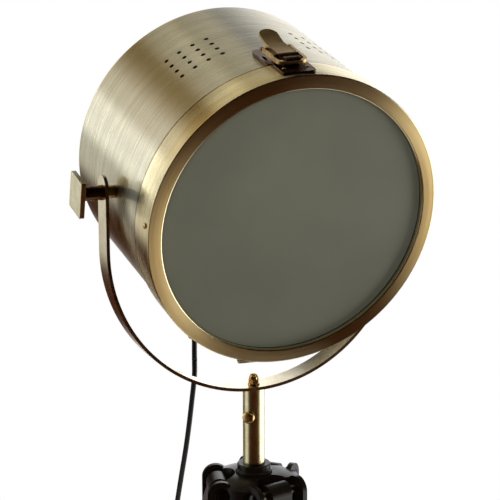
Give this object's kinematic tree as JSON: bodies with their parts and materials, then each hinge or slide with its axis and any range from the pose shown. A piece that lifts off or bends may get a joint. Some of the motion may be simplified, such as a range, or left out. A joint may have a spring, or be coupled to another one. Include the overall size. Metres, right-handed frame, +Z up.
{
  "type": "tripod spotlight floor lamp",
  "caption": "Floor lamp with a round brass spotlight head in a U-shaped yoke on a folding wooden tripod, with a hinged front ring, latch and foot switch.",
  "frame": {"origin": "centre of the feet's outline on the floor, at floor height", "axes": "+Z up, -Y to the front that the head faces, +X to the side"},
  "size_m": [0.6006, 0.6788, 1.4963],
  "materials": {
    "drum_brass": "brushed antique brass, lacquered",
    "ring_brass": "brushed golden brass",
    "dark_brass": "darkened antique brass",
    "bright_brass": "polished",
    "clamp_knob_brass": "satin",
    "black_casting": "satin black paint",
    "steel": "plated",
    "reflector_aluminium": "satin",
    "glass": "frosted inside",
    "bulb_glass": "opal",
    "plastic_black": "matte",
    "plastic_white": "matte",
    "cord_pvc": "satin PVC",
    "rubber": "matte",
    "wood": "stained and varnished"
  },
  "bodies": {
    "tripod": {"hub": "black_casting", "hub_collar": "black_casting", "spigot": "steel", "leg_bolts": "steel", "leg_nuts": "steel", "leg_bushes": "steel", "cord_lower": "cord_pvc", "cord_coil": "cord_pvc", "plug": "plastic_black", "foot_switch": "plastic_black"},
    "yoke": {"yoke_strip": "drum_brass", "stem_tube": "bright_brass", "yoke_cap_nut": "bright_brass", "yoke_washer": "bright_brass", "knob_washers": "dark_brass", "cord_upper": "cord_pvc"},
    "head": {"drum_shell": "drum_brass", "rear_cap": "drum_brass", "reflector": "reflector_aluminium", "lampholder_bracket": "steel", "lampholder": "plastic_black", "bulb": "bulb_glass", "terminal_block": "plastic_white", "cable_gland": "plastic_black", "pivot_studs": "dark_brass", "pivot_spacers": "dark_brass", "drum_hinge_leaf": "dark_brass", "hinge_and_latch_pins": "steel", "latch_base": "dark_brass"},
    "front_ring_assembly": {"front_ring": "ring_brass", "ring_hinge_leaf": "ring_brass", "front_glass": "glass", "glass_seal": "rubber", "glass_clips": "steel", "ring_screws": "bright_brass", "latch_catch": "dark_brass"},
    "latch_lever": {"latch_lever": "ring_brass"},
    "latch_loop": {"latch_loop": "dark_brass"},
    "knob_left": {"knob_left": "drum_brass"},
    "knob_right": {"knob_right": "drum_brass"},
    "stem_screw": {"stem_screw": "bright_brass"},
    "switch_button": {"switch_button": "plastic_black"},
    "leg_1": {"leg_1_knuckle": "black_casting", "leg_1_side_rails": "wood", "leg_1_clamp": "black_casting"},
    "leg_1_lower": {"leg_1_middle_rail": "wood", "leg_1_foot": "rubber"},
    "leg_1_clamp_knob": {"leg_1_clamp_knob": "clamp_knob_brass"},
    "leg_2": {"leg_2_knuckle": "black_casting", "leg_2_side_rails": "wood", "leg_2_clamp": "black_casting"},
    "leg_2_lower": {"leg_2_middle_rail": "wood", "leg_2_foot": "rubber"},
    "leg_2_clamp_knob": {"leg_2_clamp_knob": "clamp_knob_brass"},
    "leg_3": {"leg_3_knuckle": "black_casting", "leg_3_side_rails": "wood", "leg_3_clamp": "black_casting"},
    "leg_3_lower": {"leg_3_middle_rail": "wood", "leg_3_foot": "rubber"},
    "leg_3_clamp_knob": {"leg_3_clamp_knob": "clamp_knob_brass"}
  },
  "joints": [
    {"name": "pan", "type": "hinge", "parent": "tripod", "child": "yoke", "pos_m": [0.04041, 0.04604, 1.04], "axis": [0, 0, 1], "range_deg": [-90, 90], "deforming": ["cord_lower"]},
    {"name": "head_tilt", "type": "hinge", "parent": "yoke", "child": "head", "pos_m": [0.04041, 0.04604, 1.33], "axis": [-1, 0, 0], "range_deg": [-40, 60], "deforming": ["cord_upper"]},
    {"name": "front_ring_open", "type": "hinge", "parent": "head", "child": "front_ring_assembly", "pos_m": [0.0349, 0.01095, 1.15121], "axis": [0.9995, 0.0065, -0.0325], "range_deg": [0, 100]},
    {"name": "latch_lever_lift", "type": "hinge", "parent": "head", "child": "latch_lever", "pos_m": [0.0352, -0.04933, 1.46857], "axis": [0.9995, -0.0065, 0.0325], "range_deg": [0, 145]},
    {"name": "latch_loop_swing", "type": "hinge", "parent": "latch_lever", "child": "latch_loop", "pos_m": [0.03516, -0.02549, 1.47433], "axis": [0.9995, -0.0065, 0.0325], "range_deg": [-125, 0]},
    {"name": "knob_left_turn", "type": "hinge", "parent": "head", "child": "knob_left", "pos_m": [-0.13459, 0.04604, 1.33], "axis": [-1, 0, 0], "range_deg": [0, 360]},
    {"name": "knob_right_turn", "type": "hinge", "parent": "head", "child": "knob_right", "pos_m": [0.21541, 0.04604, 1.33], "axis": [1, 0, 0], "range_deg": [0, 360]},
    {"name": "stem_screw_turn", "type": "hinge", "parent": "yoke", "child": "stem_screw", "pos_m": [0.04041, 0.04604, 1.078], "axis": [-0.7071, -0.7071, 0], "range_deg": [0, 360]},
    {"name": "leg_1_fold", "type": "hinge", "parent": "tripod", "child": "leg_1", "pos_m": [0.0496, 0.00917, 0.9995], "axis": [0.9703, 0.2419, 0], "range_deg": [0, 16.5]},
    {"name": "leg_1_extend", "type": "slide", "parent": "leg_1", "child": "leg_1_lower", "axis": [0.0687, -0.2756, -0.9588], "range_m": [0, 0.15]},
    {"name": "leg_1_clamp_turn", "type": "hinge", "parent": "leg_1", "child": "leg_1_clamp_knob", "pos_m": [0.08684, -0.14019, 0.47982], "axis": [0.232, -0.9303, 0.284], "range_deg": [0, 360]},
    {"name": "leg_2_fold", "type": "hinge", "parent": "tripod", "child": "leg_2", "pos_m": [0.06774, 0.07244, 0.9995], "axis": [-0.6947, 0.7193, 0], "range_deg": [0, 16.5]},
    {"name": "leg_2_extend", "type": "slide", "parent": "leg_2", "child": "leg_2_lower", "axis": [0.2043, 0.1973, -0.9588], "range_m": [0, 0.15]},
    {"name": "leg_2_clamp_turn", "type": "hinge", "parent": "leg_2", "child": "leg_2_clamp_knob", "pos_m": [0.17848, 0.17937, 0.47982], "axis": [0.6897, 0.6661, 0.284], "range_deg": [0, 360]},
    {"name": "leg_3_fold", "type": "hinge", "parent": "tripod", "child": "leg_3", "pos_m": [0.00388, 0.05652, 0.9995], "axis": [-0.2756, -0.9613, 0], "range_deg": [0, 16.5]},
    {"name": "leg_3_extend", "type": "slide", "parent": "leg_3", "child": "leg_3_lower", "axis": [-0.273, 0.0783, -0.9588], "range_m": [0, 0.15]},
    {"name": "leg_3_clamp_turn", "type": "hinge", "parent": "leg_3", "child": "leg_3_clamp_knob", "pos_m": [-0.14409, 0.09895, 0.47982], "axis": [-0.9217, 0.2643, 0.284], "range_deg": [0, 360]},
    {"name": "switch_press", "type": "slide", "parent": "tripod", "child": "switch_button", "axis": [0, 0, -1], "range_m": [0, 0.003], "stiffness_N_per_m": 600, "springref_m": -0.001}
  ],
  "couplings": [
    {"joint": "latch_lever_lift", "follows": "front_ring_open", "ratio": 1.4},
    {"joint": "latch_loop_swing", "follows": "front_ring_open", "ratio": -1.2}
  ]
}
